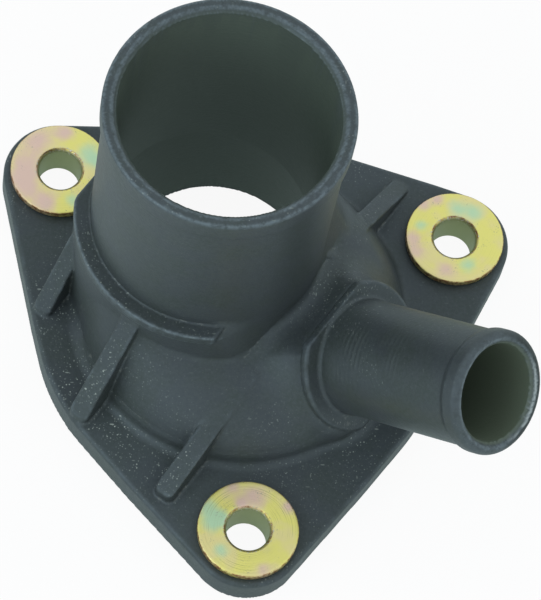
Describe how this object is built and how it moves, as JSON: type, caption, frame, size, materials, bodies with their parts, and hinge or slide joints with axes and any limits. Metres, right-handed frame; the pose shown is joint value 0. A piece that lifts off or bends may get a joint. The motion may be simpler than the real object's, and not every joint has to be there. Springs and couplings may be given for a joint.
{
  "type": "thermostat housing",
  "caption": "Moulded coolant outlet with a bolted flange, a large upright hose neck, a small slanted hose spigot, steel bolt bushes and a seal ring.",
  "frame": {"origin": "on the mating face, in the middle of the part's outline box", "axes": "+Z is the flange's normal on the side of the hose neck; -Y points to the front bolt; +X to the right bolt"},
  "size_m": [0.079, 0.0745, 0.057],
  "materials": {
    "glass_filled_nylon": "satin",
    "yellow_zinc_steel": "satin",
    "black_rubber": "matte"
  },
  "bodies": {
    "root": {"housing": "glass_filled_nylon", "bush_left": "yellow_zinc_steel", "bush_right": "yellow_zinc_steel", "bush_front": "yellow_zinc_steel", "seal_ring": "black_rubber"}
  },
  "joints": []
}
